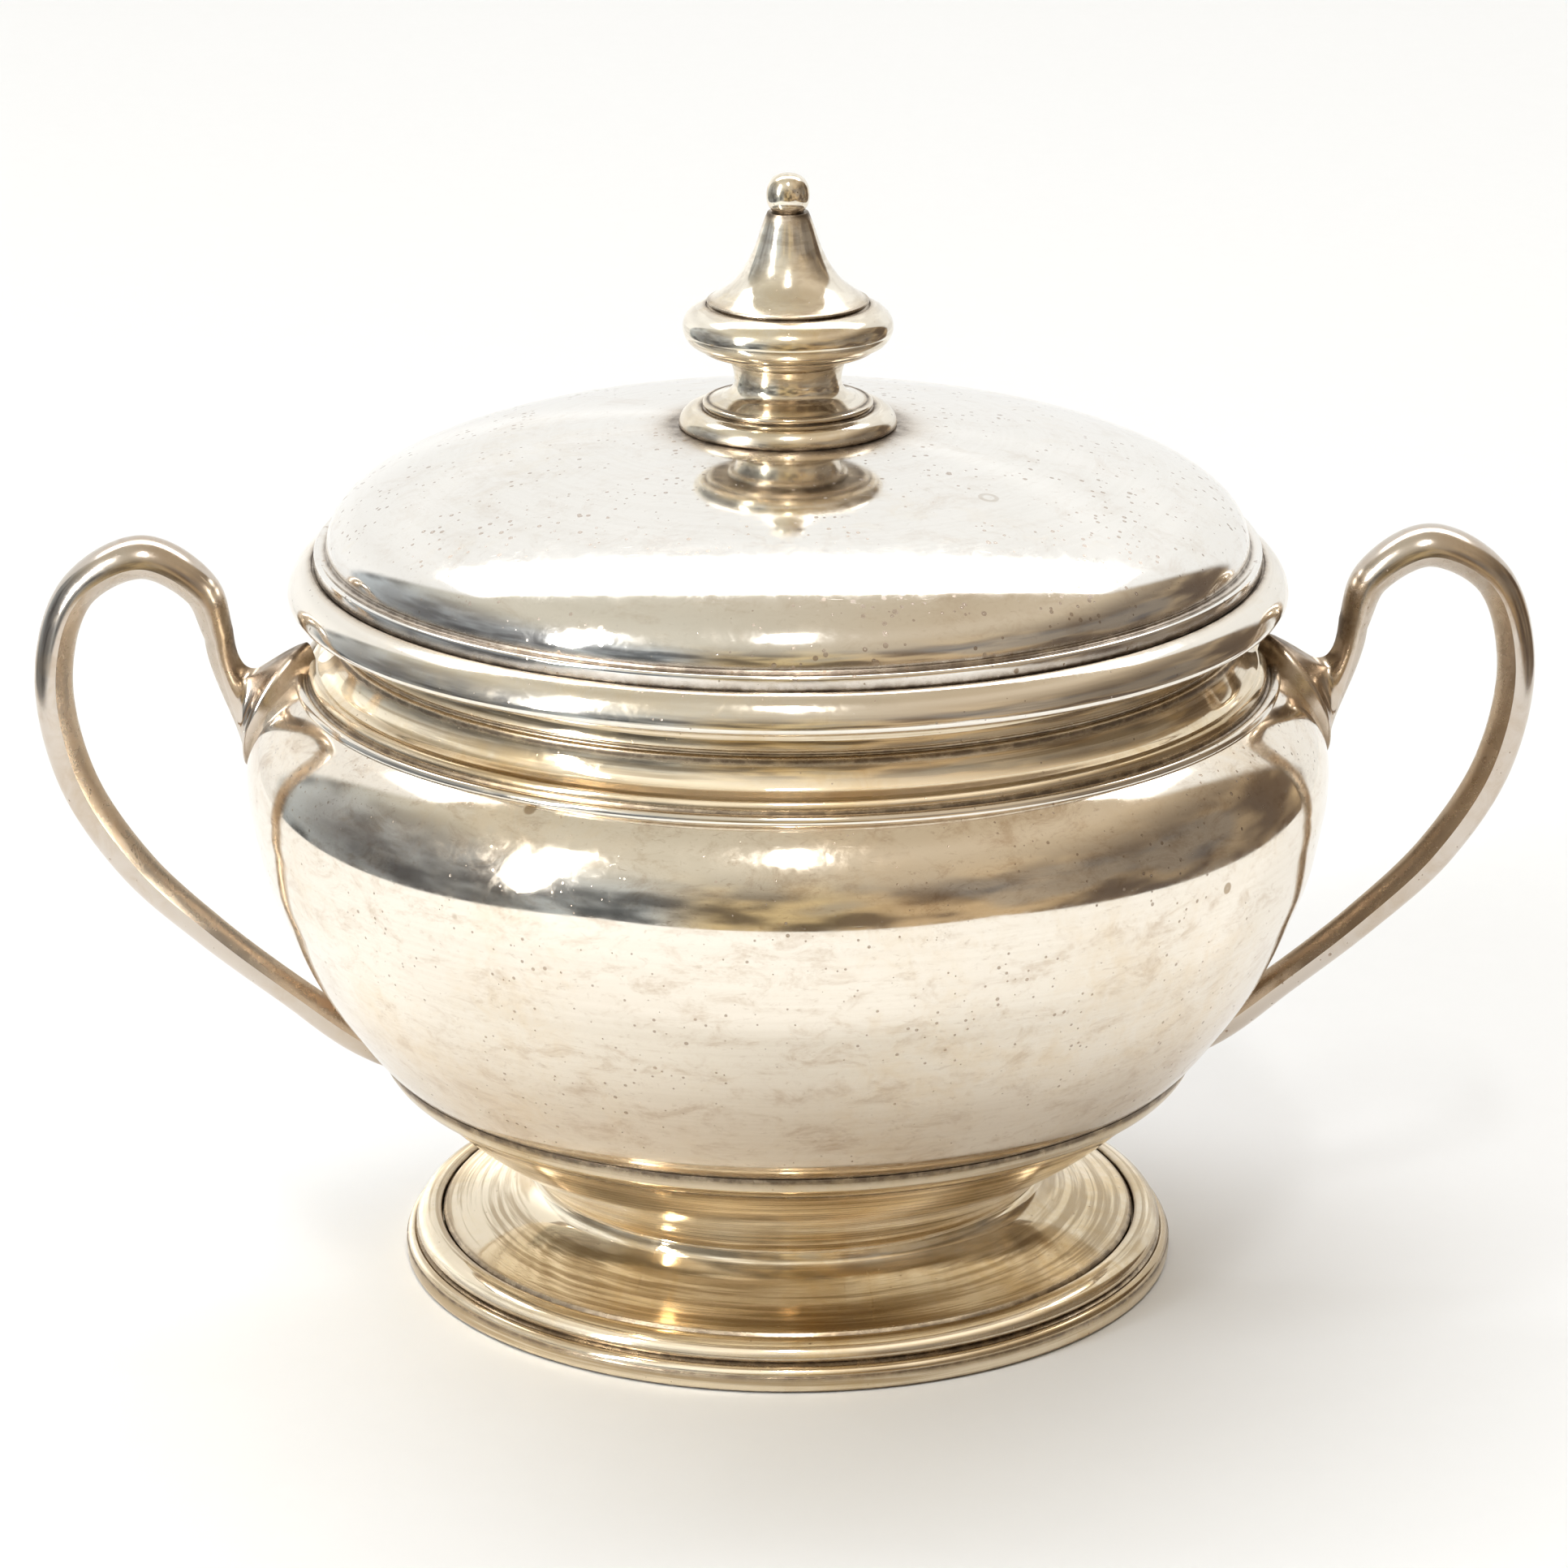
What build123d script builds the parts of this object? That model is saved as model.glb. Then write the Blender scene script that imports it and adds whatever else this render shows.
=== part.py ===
# Covered silver sugar bowl: a spun round bowl on a turned foot, two cast S-shaped handles, and a loose
# domed lid with a turned finial. Millimetres, +Z up. The origin is on the table, on the bowl's axis.
# The handles lie along X and the front faces -Y.
from build123d import *
from math import cos, pi, radians, sin
import os

# ---- Driving dimensions -------------------------------------------------------------------------
SHEET = 1.0                  # thickness of the spun sheet
FIT = 0.35                   # clearance all round the lid
SEAT_GAP = 0.1               # gap under the resting lid

BELLY_RADIUS = 61.1          # widest ring of the bowl
BELLY_HEIGHT = 58.5
SHOULDER_ARC = 12.3          # radius of the round shoulder above the widest ring
BOWL_FLOOR = 17.8            # underside of the bowl at its centre

FOOT_TOP = 23.0              # joint between the foot and the ring soldered under the bowl
FOOT_TOP_RADIUS = 44.0
WAIST_RADIUS = 29.1          # narrowest ring of the foot
WAIST_HEIGHT = 10.4
STEP_RADIUS = 39.95          # where the flared foot meets its step ring
STEP_TOP = 5.05
BASE_TOP = 2.95
BASE_RADIUS = 44.3

MOUTH_RADIUS = 49.3
COLLAR_RADIUS = 50.3         # outside of the neck collar, behind the rim band
SEAT_HEIGHT = 82.6           # ledge that the lid rests on
RIM_RADIUS = 56.0
RIM_BOTTOM = 78.65
WIRE_ANGLE = 60.9            # the wire's place on the shoulder: the angle of the normal above level
WIRE_HALF_ANGLE = 3.0        # half the width of the wire, as an angle along the shoulder
WIRE_RISE = 0.6              # how far the wire stands out from the shoulder
WIRE_FACETS = 8              # faces along the half-round of the wire

LID_RADIUS = 53.0
BEZEL_DEPTH = 5.0            # how far the lid reaches into the mouth
DOME_RADIUS = 51.6
DOME_FOOT = 84.6
DOME_RISE = 13.4
DOME_POWER = 2.1             # 2 is a plain ellipse; a little more makes a fuller dome

NECK_FOOT = 99.95            # joint between the finial's base and its neck
KNOB_FOOT = 106.25           # joint between neck and knob
SPIRE_FOOT = 111.6           # joint between knob and spire
SPIRE_TOP = 121.8            # joint between spire and bead
BEAD_TOP = 126.05
STUD_RADIUS = 1.5
STUD_TOP = 118.0
STUD_HOLE = 1.6
NUT_FLATS = 5.5
NUT_HEIGHT = 2.4
WASHER_RADIUS = 5.0

# Centre line of a handle from its root under the rim, over the loop and down to the bottom of the bowl:
# distance from the axis, height, thickness in the plane of the handle, width across it.
HANDLE_SECTIONS = [
    (58.5, 65.5, 4.6, 7.4),
    (62.0, 68.6, 4.0, 6.6),
    (63.9, 74.0, 3.4, 5.6),
    (65.8, 79.3, 4.3, 6.0),
    (72.2, 83.0, 4.9, 6.6),
    (79.5, 79.2, 4.3, 6.2),
    (82.5, 69.8, 4.3, 5.6),
    (80.5, 57.6, 4.4, 5.4),
    (74.2, 47.0, 4.3, 5.2),
    (65.9, 38.8, 3.9, 5.0),
    (56.9, 31.5, 3.7, 5.2),
    (49.4, 25.9, 4.2, 6.0),
    (40.5, 20.2, 4.6, 6.8),
]
CREASE_PLACE = -0.1          # crease's place from the centre line, outward, over the thickness
LEAF_TOP = (53.6, 73.4)      # points of the leaf by which the handle sits on the shoulder
LEAF_TIP = (61.9, 58.2)
LEAF_RISE = 4.0              # how far the leaf stands out from the line between its points
LEAF_SPREAD = 1.25           # leaf width over its rise


# ---- Helpers ------------------------------------------------------------------------------------
def turned(*outline):
    """Spin a closed outline in (radius, height) about the axis, with the seam away from the handles."""
    return revolve(Plane.YZ * make_face(Curve() + list(outline)), Axis.Z)


def ring(inner, outer, bottom, top):
    """A square-edged ring on the axis."""
    return Pos(0, 0, bottom) * extrude(Circle(outer) - Circle(inner), top - bottom)


def rod(radius, bottom, top):
    """A solid round rod on the axis."""
    return Pos(0, 0, bottom) * extrude(Circle(radius), top - bottom)


def save(name, shape):
    shape.label = name
    export_step(shape, f"parts/{name}.step")


# ---- Bowl ---------------------------------------------------------------------------------------
SHOULDER_CENTRE = BELLY_RADIUS - SHOULDER_ARC
SHOULDER_END = 87.0          # the shoulder turns in until its normal is this far above level
LOWER_BOWL = [(59.4, 48.0), (56.25, 40.0), (51.6, 32.0), (46.7, 26.0), (41.6, 22.9), (30.0, 19.6)]


def shoulder_point(angle, inset=0.0):
    """A point of the round shoulder, by the angle of its outward normal above level."""
    arc = SHOULDER_ARC - inset
    return (SHOULDER_CENTRE + arc * cos(radians(angle)), BELLY_HEIGHT + arc * sin(radians(angle)))


def shoulder_curve(inset=0.0):
    angles = (SHOULDER_END, SHOULDER_END / 2, 0)
    return ThreePointArc(*[shoulder_point(angle, inset) for angle in angles])


def flank_curve(inset=0.0):
    """The bowl below its widest ring, moved inward by inset."""
    outside = Spline(shoulder_point(0), *LOWER_BOWL, (0, BOWL_FLOOR), tangents=[(0, -1), (-1, 0)])
    if inset == 0:
        return outside
    count = len(LOWER_BOWL)
    places = [step / (count + 1) for step in range(1, count + 1)]
    moved = [(outside @ place) + (outside % place).rotate(Axis.Z, -90) * inset for place in places]
    end = (0, BOWL_FLOOR + inset)
    return Spline(shoulder_point(0, inset), *moved, end, tangents=[(0, -1), (-1, 0)])


def bowl_shell():
    outside = [shoulder_curve(), flank_curve()]
    inside = [shoulder_curve(SHEET), flank_curve(SHEET)]
    mouth_edge = Line(outside[0] @ 0, inside[0] @ 0)
    floor_edge = Line(outside[1] @ 1, inside[1] @ 1)
    return turned(*outside, *inside, mouth_edge, floor_edge)


def bowl_core():
    """The bowl filled in solid, to trim what is soldered to its outside."""
    shoulder, flank = shoulder_curve(), flank_curve()
    top = shoulder @ 0
    return turned(shoulder, flank, Polyline(flank @ 1, (0, top.Y), top))


# ---- Neck, wire and rim -------------------------------------------------------------------------
def neck_collar():
    """Turned collar: a fine cove under the rim, a small ledge, a deeper cove and a lip."""
    upper_cove = ThreePointArc((COLLAR_RADIUS + 0.5, RIM_BOTTOM), (COLLAR_RADIUS, 76.8), (50.45, 74.95))
    lower_cove = Spline((51.1, 74.5), (51.45, 72.7), (52.8, 71.1), tangents=[(0, -1), (1, -0.4)])
    lip = ThreePointArc((52.8, 71.1), (53.8, 70.6), (54.0, 69.9))
    top = Polyline(
        (54.0, 69.9), (54.0, 68.0), (MOUTH_RADIUS, 68.0), (MOUTH_RADIUS, SEAT_HEIGHT),
        (COLLAR_RADIUS, SEAT_HEIGHT), (COLLAR_RADIUS, RIM_BOTTOM), (COLLAR_RADIUS + 0.5, RIM_BOTTOM),
    )
    ledge = Polyline((50.45, 74.95), (51.1, 74.95), (51.1, 74.5))
    return turned(upper_cove, ledge, lower_cove, lip, top) - bowl_core()


def shoulder_wire():
    """Half-round wire soldered to the shoulder just below the collar."""
    steps = [step / WIRE_FACETS for step in range(WIRE_FACETS + 1)]
    round_side = [
        shoulder_point(WIRE_ANGLE - WIRE_HALF_ANGLE * cos(pi * step), -WIRE_RISE * sin(pi * step))
        for step in steps
    ]
    seat = [shoulder_point(WIRE_ANGLE + WIRE_HALF_ANGLE * (1 - 2 * step)) for step in steps]
    return turned(Polyline(*round_side), Polyline(*seat))


def rim_band():
    """Heavy half-round band round the mouth, with the ledge for the lid inside it."""
    inner_edge = (LID_RADIUS + FIT, SEAT_HEIGHT + 0.15)
    swell = Spline(inner_edge, (54.75, 82.0), (55.75, 80.6), (RIM_RADIUS, 79.45),
                   tangents=[(1, -0.15), (0, -1)])
    corner = ThreePointArc((RIM_RADIUS, 79.45), (55.77, 78.88), (55.2, RIM_BOTTOM))
    back = Polyline(
        (55.2, RIM_BOTTOM), (COLLAR_RADIUS, RIM_BOTTOM), (COLLAR_RADIUS, SEAT_HEIGHT),
        (inner_edge[0], SEAT_HEIGHT), inner_edge,
    )
    return turned(swell, corner, back)


# ---- Foot ---------------------------------------------------------------------------------------
def foot_collar():
    """Ring soldered under the bowl, carrying the foot."""
    swell = ThreePointArc((46.9, 26.1), (46.1, 24.35), (FOOT_TOP_RADIUS, FOOT_TOP))
    back = Polyline((FOOT_TOP_RADIUS, FOOT_TOP), (36.0, FOOT_TOP), (36.0, 26.1), (46.9, 26.1))
    return turned(swell, back) - bowl_core()


def foot_curves(inset=0.0):
    """The foot's outline moved inward by inset: the hollow flare, then the spread to the step ring."""
    slope = inset * 0.7      # part of the inset taken radially where the sheet lies at about 45 degrees
    flare = Spline(
        (FOOT_TOP_RADIUS - 1.3 * inset, FOOT_TOP), (38.7 - slope, 18.0 + slope),
        (33.2 - slope, 14.1 + slope), (WAIST_RADIUS - inset, WAIST_HEIGHT),
    )
    spread = Spline(
        (WAIST_RADIUS - inset, WAIST_HEIGHT), (31.9 - slope, 7.4 - slope), (STEP_RADIUS, STEP_TOP - inset),
        tangents=[(0.5, -1), (1, -0.15)],
    )
    return flare, spread


def foot_shell():
    flare, spread = foot_curves()
    inner_flare, inner_spread = foot_curves(SHEET)
    top = Line(flare @ 0, inner_flare @ 0)
    edge = Line(spread @ 1, inner_spread @ 1)
    return turned(flare, spread, inner_flare, inner_spread, top, edge)


def foot_core():
    """The foot filled in solid, to trim the handles."""
    flare, spread = foot_curves()
    return turned(flare, spread, Polyline(spread @ 1, (0, STEP_TOP), (0, FOOT_TOP), flare @ 0))


def foot_step_ring():
    swell = ThreePointArc((STEP_RADIUS, STEP_TOP), (42.1, 4.45), (43.1, BASE_TOP))
    back = Polyline((43.1, BASE_TOP), (STEP_RADIUS, BASE_TOP), (STEP_RADIUS, STEP_TOP))
    return turned(swell, back)


def foot_base_ring():
    """Flat ring that the bowl stands on, with a rounded top edge."""
    outline = Polyline(
        (39.0, 0), (BASE_RADIUS - 0.2, 0), (BASE_RADIUS, 0.2), (BASE_RADIUS, 2.1), (43.3, BASE_TOP),
        (39.0, BASE_TOP), close=True,
    )
    return turned(outline)


# ---- Handles ------------------------------------------------------------------------------------
def bar_section(thickness, width):
    """Section of a bar: round on the outside of the loop, flatter inside, with a crease on each flank."""
    side, out, crease = width / 2, thickness / 2, CREASE_PLACE * thickness
    round_side = Spline(
        (side, crease), (0.8 * side, 0.62 * out), (0, out), (-0.8 * side, 0.62 * out), (-side, crease),
        tangents=[(0.15, 1), (0.15, -1)],
    )
    flat_side = Spline(
        (-side, crease), (-0.55 * side, -0.82 * out), (0, -out), (0.55 * side, -0.82 * out), (side, crease),
        tangents=[(0.7, -1), (0.7, 1)],
    )
    return make_face(round_side + flat_side)


def handle_bar():
    """Bar bent to an S with a wide loop."""
    points = [(reach, 0, height) for reach, height, _, _ in HANDLE_SECTIONS]
    centre_line = Spline(*points)
    faces = []
    for point, (_, _, thickness, width) in zip(points, HANDLE_SECTIONS):
        across = Plane(origin=point, x_dir=(0, 1, 0), z_dir=centre_line.tangent_at(point))
        faces.append(across * bar_section(thickness, width))
    return loft(faces)


def handle_leaf():
    """Pointed leaf lying on the shoulder: an arc spun about its own chord, then spread sideways."""
    length = (Vector(*LEAF_TIP) - Vector(*LEAF_TOP)).length
    arc = ThreePointArc((0, 0), (LEAF_RISE, length / 2), (0, length))
    leaf = revolve(Plane.XZ * make_face(arc + Line((0, length), (0, 0))), Axis.Z)
    leaf = scale(leaf, by=(1, LEAF_SPREAD, 1))
    along = Vector(LEAF_TOP[0] - LEAF_TIP[0], 0, LEAF_TOP[1] - LEAF_TIP[1])
    return Plane(origin=(LEAF_TIP[0], 0, LEAF_TIP[1]), x_dir=Vector(0, 1, 0).cross(along), z_dir=along) * leaf


def handle(stands_on):
    """One handle on the +X side, trimmed to the surfaces it is soldered to."""
    shape = handle_bar() + handle_leaf()
    for other in stands_on:
        shape -= other
    return shape


# ---- Lid ----------------------------------------------------------------------------------------
def dome_height(radius, inset=0.0):
    share = (radius / (DOME_RADIUS - inset)) ** DOME_POWER
    return DOME_FOOT + (DOME_RISE - inset) * (1 - share) ** (1 / DOME_POWER)


def dome_curve(inset=0.0):
    edge = DOME_RADIUS - inset
    shares = (0.22, 0.45, 0.65, 0.8, 0.9, 0.96, 0.99)
    points = [(edge * share, dome_height(edge * share, inset)) for share in shares]
    return Spline((0, dome_height(0, inset)), *points, (edge, DOME_FOOT), tangents=[(1, 0), (0, -1)])


def dome_core(inset=0.0):
    """The dome filled in solid."""
    curve = dome_curve(inset)
    return turned(curve, Polyline(curve @ 1, (0, DOME_FOOT), curve @ 0))


def lid_dome():
    return dome_core() - dome_core(SHEET) - rod(STUD_HOLE, DOME_FOOT, DOME_FOOT + 2 * DOME_RISE)


def lid_edge_band():
    """Turned ring round the lid: a small cove at the dome, then an upright face."""
    bottom = SEAT_HEIGHT + SEAT_GAP
    inner = MOUTH_RADIUS - FIT - SHEET
    cove = ThreePointArc((DOME_RADIUS, DOME_FOOT), (52.05, 84.28), (52.75, 84.2))
    rest = Polyline(
        (52.75, 84.2), (LID_RADIUS, 84.0), (LID_RADIUS, bottom), (inner, bottom), (inner, 83.6),
        (DOME_RADIUS - SHEET, DOME_FOOT), (DOME_RADIUS, DOME_FOOT),
    )
    return turned(cove, rest)


def lid_bezel():
    """Upright ring that keeps the lid in the mouth."""
    outer = MOUTH_RADIUS - FIT
    top = SEAT_HEIGHT + SEAT_GAP
    return ring(outer - SHEET, outer, top - BEZEL_DEPTH, top)


# ---- Finial -------------------------------------------------------------------------------------
def finial_base():
    """Half-round disc between the dome and the finial's neck."""
    swell = ThreePointArc((9.6, NECK_FOOT), (11.6, 99.3), (12.1, 97.4))
    rest = Polyline((12.1, 97.4), (STUD_HOLE, 97.4), (STUD_HOLE, NECK_FOOT), (9.6, NECK_FOOT))
    return turned(swell, rest) - dome_core()


def finial_neck():
    """Spool with a round edge at its foot, widening a little under the knob."""
    foot_edge = ThreePointArc((9.3, NECK_FOOT), (9.5, 100.3), (9.0, 100.65))
    hollow = Spline((9.0, 100.65), (5.95, 102.8), (7.2, KNOB_FOOT), tangents=[(-1, 0.25), (0.8, 1)])
    rest = Polyline((7.2, KNOB_FOOT), (STUD_HOLE, KNOB_FOOT), (STUD_HOLE, NECK_FOOT), (9.3, NECK_FOOT))
    return turned(foot_edge, hollow, rest)


def finial_knob():
    """Rounded disc with a small second ring low on its underside."""
    second_ring = ThreePointArc((8.8, KNOB_FOOT), (9.7, 106.45), (9.95, 106.8))
    swell = Spline(
        (9.95, 106.8), (11.55, 107.8), (11.6, 109.7), (8.7, SPIRE_FOOT),
        tangents=[(1, 0.4), (-1, 0.25)],
    )
    rest = Polyline((8.7, SPIRE_FOOT), (STUD_HOLE, SPIRE_FOOT), (STUD_HOLE, KNOB_FOOT), (8.8, KNOB_FOOT))
    return turned(second_ring, swell, rest)


def finial_spire():
    """Hollow-sided cone, screwed on the stud."""
    edge = ThreePointArc((8.85, SPIRE_FOOT), (9.0, SPIRE_FOOT + 0.15), (8.85, SPIRE_FOOT + 0.3))
    side = Spline(
        (8.85, SPIRE_FOOT + 0.3), (5.55, 114.5), (3.95, 117.2), (2.25, SPIRE_TOP),
        tangents=[(-1, 0.6), (-0.3, 1)],
    )
    rest = Polyline(
        (2.25, SPIRE_TOP), (0, SPIRE_TOP), (0, STUD_TOP), (STUD_RADIUS, STUD_TOP), (STUD_RADIUS, SPIRE_FOOT),
        (8.85, SPIRE_FOOT),
    )
    return turned(edge, side, rest)


def finial_bead():
    side = Spline((2.0, SPIRE_TOP), (2.4, 123.6), (0, BEAD_TOP), tangents=[(0.5, 1), (-1, 0)])
    return turned(side, Polyline((0, BEAD_TOP), (0, SPIRE_TOP), (2.0, SPIRE_TOP)))


def finial_fixing():
    """The stud, and the washer and nut that hold it under the dome."""
    under_dome = DOME_FOOT + DOME_RISE - SHEET
    washer_bottom = under_dome - 1.0
    nut_bottom = washer_bottom - NUT_HEIGHT
    washer = dome_core(SHEET) & ring(STUD_RADIUS, WASHER_RADIUS, washer_bottom, under_dome + 1)
    hexagon = RegularPolygon(NUT_FLATS / 2, 6, major_radius=False) - Circle(STUD_RADIUS)
    nut = Pos(0, 0, nut_bottom) * extrude(hexagon, NUT_HEIGHT)
    return rod(STUD_RADIUS, nut_bottom - 0.8, STUD_TOP), washer, nut


# ---- Build --------------------------------------------------------------------------------------
os.makedirs("parts", exist_ok=True)

collar = neck_collar()
under_ring = foot_collar()
wire = shoulder_wire()
right_handle = handle([bowl_core(), collar, wire, under_ring, foot_core()])

save("bowl_shell", bowl_shell())
save("neck_collar", collar)
save("shoulder_wire", wire)
save("rim_band", rim_band())
save("foot_collar", under_ring)
save("foot_shell", foot_shell())
save("foot_step_ring", foot_step_ring())
save("foot_base_ring", foot_base_ring())
save("handle_right", right_handle)
save("handle_left", mirror(right_handle, about=Plane.YZ))

stud, washer, nut = finial_fixing()
save("lid_dome", lid_dome())
save("lid_edge_band", lid_edge_band())
save("lid_bezel", lid_bezel())
save("finial_base", finial_base())
save("finial_neck", finial_neck())
save("finial_knob", finial_knob())
save("finial_spire", finial_spire())
save("finial_bead", finial_bead())
save("finial_stud", stud)
save("finial_washer", washer)
save("finial_nut", nut)
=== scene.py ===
"""Looks of a covered silver sugar bowl: turned pieces, cast handles, tarnished silver, white paper."""
import math

import bmesh
import bpy
from mathutils import Matrix, Vector

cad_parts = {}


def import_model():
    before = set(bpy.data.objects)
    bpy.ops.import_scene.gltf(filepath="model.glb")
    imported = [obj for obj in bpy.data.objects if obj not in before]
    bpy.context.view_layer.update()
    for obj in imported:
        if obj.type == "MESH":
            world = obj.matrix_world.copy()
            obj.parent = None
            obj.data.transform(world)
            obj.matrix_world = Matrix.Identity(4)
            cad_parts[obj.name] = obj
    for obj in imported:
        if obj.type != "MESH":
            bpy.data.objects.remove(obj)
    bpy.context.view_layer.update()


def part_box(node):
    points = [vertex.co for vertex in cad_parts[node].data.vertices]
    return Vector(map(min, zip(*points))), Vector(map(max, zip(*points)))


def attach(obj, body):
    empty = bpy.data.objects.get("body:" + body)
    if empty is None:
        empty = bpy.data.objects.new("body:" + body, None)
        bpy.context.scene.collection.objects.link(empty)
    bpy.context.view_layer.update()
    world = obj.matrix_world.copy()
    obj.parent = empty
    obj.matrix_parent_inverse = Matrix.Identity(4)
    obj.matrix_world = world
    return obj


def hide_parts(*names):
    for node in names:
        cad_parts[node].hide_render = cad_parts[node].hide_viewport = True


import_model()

MM = 0.001
TURN = 2 * math.pi

# ---- Camera, stage and lights -------------------------------------------------------------------
CAMERA_DISTANCE = 0.645
CAMERA_ELEVATION = math.radians(17.94)
CAMERA_YAW = math.radians(-2.0)
CAMERA_TARGET = Vector((-0.00044, 0.0, 0.0556))
CAMERA_LENS = 130.4
SENSOR = 36.0
SHEET_HALF_WIDTH = 0.26       # white paper under the bowl
SHEET_FRONT = -0.34
SHEET_BACK = 0.9
SHEET_DROP, FAR_FLOOR_DROP = 0.0001, 0.0006      # how far each lies below the foot, so that no faces meet
FAR_FLOOR_RADIUS = 6.0
FAR_FLOOR_POINTS = 96
PAPER_COLOUR = (0.86, 0.885, 0.92)
GLOW_START, GLOW_FULL = 0.95, 2.6        # distances between which the far floor turns pure white
FAR_GLOW = 0.45
LIGHT_DISTANCE = 1.3
LIGHT_AIM = Vector((0.0, 0.0, 0.065))

# ---- Shoulder and handle ------------------------------------------------------------------------
SHOULDER_CENTRE = (48.8, 58.5)
SHOULDER_ARC = 12.3
SHOULDER_TOP = 87             # degrees above level where the bowl's shoulder ends under the collar

# Centre line: distance from the axis, height, thickness in the handle's plane, width across it.
BAR_STATIONS = [
    (63.9, 74.0, 3.4, 5.6),
    (65.8, 79.3, 4.3, 6.0),
    (72.2, 83.0, 4.9, 6.6),
    (79.5, 79.2, 4.3, 6.2),
    (82.5, 69.8, 4.3, 5.6),
    (80.5, 57.6, 4.4, 5.4),
    (74.2, 47.0, 4.3, 5.2),
    (65.9, 38.8, 3.9, 5.0),
    (56.9, 31.5, 3.7, 5.2),
    (49.4, 25.9, 4.0, 5.8),
    (40.0, 20.6, 2.0, 5.2),
]
BAR_POINTS = 56               # points round the bar's section
CREASE_PLACE = -0.1           # where the section is widest, as a share of its thickness; minus is inward
INSIDE_FLATNESS = 1.6         # power that shapes the section's inner side
PLATE_HALF_WIDTH = 4.0
PLATE_FULLNESS = 0.85         # power that shapes the plate's outline
PLATE_LEAN = (71.0, 0.5)      # the plate's two points: angle of the shoulder's normal above level
PLATE_LIFT = (3.15, 0.3)      # how far its margin stands off the shoulder at those points
PLATE_DEPTH = 0.5             # how far it goes into the bowl's wall
CREASE_SHARE = 0.75           # where the bar's crease runs out into the margin, from -1 (top) to 1 (tail)
WALL_STEPS = [(0.42, 0.03), (0.75, 0.10), (0.93, 0.19), (1.0, 0.30)]   # rounding of the margin: out, down
WALL_NARROWER, WALL_SLOPE = 0.22, 0.35   # how the margin draws in: of its width, and towards the saddle
SADDLE = Vector((61.2, 0.0, 69.5))       # lowest place between the bar and the plate's horn
BAR_DIRECTION = Vector((-0.08, 0.0, -1.0))
FLARE_STEPS = 28
FLARE_LEAVE = (13.0, 11.0, 2.0)          # pull along the bar: all round, more outside, more inside
FLARE_ARRIVE = (8.0, 5.0, 4.0)           # pull along the plate, likewise
INSIDE_TARNISH = 0.45         # tarnish inside the loop, where a cloth seldom reaches
WAIST_DARK_REFLECTION = 1.00          # painted dark reflection, darkening the waist's side that faces the bowl
WAIST_PLACE = (68.0, 73.5)
WAIST_REACH = 4.5
END_TARNISH = 0.8             # tarnish where the plate and the foot of the bar meet the bowl
PLATE_SEAM_REACH = 0.6
BAR_FOOT_PLACE, BAR_FOOT_REACH = 46.0, 2.5
HANDLE_MIDDLE = 50            # height that parts the plate's end from the bar's foot


# ---- Outline helpers (millimetres, radius and height) -------------------------------------------
SHARP_CORNER = math.radians(24)   # corners that turn less than this aren't eased
ROUND_POINTS = 5                  # points along an eased corner
MOST_OF_EDGE = 0.42               # share of a neighbouring edge that an eased corner may use
RADIUS_TOLERANCE = 0.02           # how far an outline may be from its CAD node's radius
HEIGHT_TOLERANCE = 0.08


def arc(start, middle, end, steps):
    """Points on the circle through three points."""
    (ax, ay), (bx, by), (cx, cy) = start, middle, end
    d = 2 * (ax * (by - cy) + bx * (cy - ay) + cx * (ay - by))
    if abs(d) < 1e-9:
        return [start, middle, end]
    sa, sb, sc = ax * ax + ay * ay, bx * bx + by * by, cx * cx + cy * cy
    ux = (sa * (by - cy) + sb * (cy - ay) + sc * (ay - by)) / d
    uy = (sa * (cx - bx) + sb * (ax - cx) + sc * (bx - ax)) / d
    radius = math.hypot(ax - ux, ay - uy)
    a0 = math.atan2(ay - uy, ax - ux)
    am = math.atan2(by - uy, bx - ux)
    a1 = math.atan2(cy - uy, cx - ux)
    sweep = (a1 - a0) % TURN
    if (am - a0) % TURN > sweep:
        sweep -= TURN
    angles = [a0 + sweep * i / steps for i in range(steps + 1)]
    return [(ux + radius * math.cos(a), uy + radius * math.sin(a)) for a in angles]


def smooth(points, steps):
    """Points on a centripetal Catmull-Rom curve through the given ones, of any dimension."""
    pts = [Vector(p) for p in points]
    pts = [2 * pts[0] - pts[1]] + pts + [2 * pts[-1] - pts[-2]]
    out = []
    for i in range(1, len(pts) - 2):
        p0, p1, p2, p3 = pts[i - 1 : i + 3]
        t0 = 0.0
        t1 = t0 + max((p1 - p0).length, 1e-6) ** 0.5
        t2 = t1 + max((p2 - p1).length, 1e-6) ** 0.5
        t3 = t2 + max((p3 - p2).length, 1e-6) ** 0.5
        for s in range(steps):
            t = t1 + (t2 - t1) * s / steps
            a1 = p0 * ((t1 - t) / (t1 - t0)) + p1 * ((t - t0) / (t1 - t0))
            a2 = p1 * ((t2 - t) / (t2 - t1)) + p2 * ((t - t1) / (t2 - t1))
            a3 = p2 * ((t3 - t) / (t3 - t2)) + p3 * ((t - t2) / (t3 - t2))
            b1 = a1 * ((t2 - t) / (t2 - t0)) + a2 * ((t - t0) / (t2 - t0))
            b2 = a2 * ((t3 - t) / (t3 - t1)) + a3 * ((t - t1) / (t3 - t1))
            out.append(b1 * ((t2 - t) / (t2 - t1)) + b2 * ((t - t1) / (t2 - t1)))
    out.append(pts[-2])
    return [tuple(p) for p in out]


def joined(*runs):
    """One closed outline from runs of points, without doubled points."""
    outline = []
    for run in runs:
        for point in run:
            if not outline or math.dist(point, outline[-1]) > 1e-4:
                outline.append(point)
    if math.dist(outline[0], outline[-1]) < 1e-4:
        outline.pop()
    return outline


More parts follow.
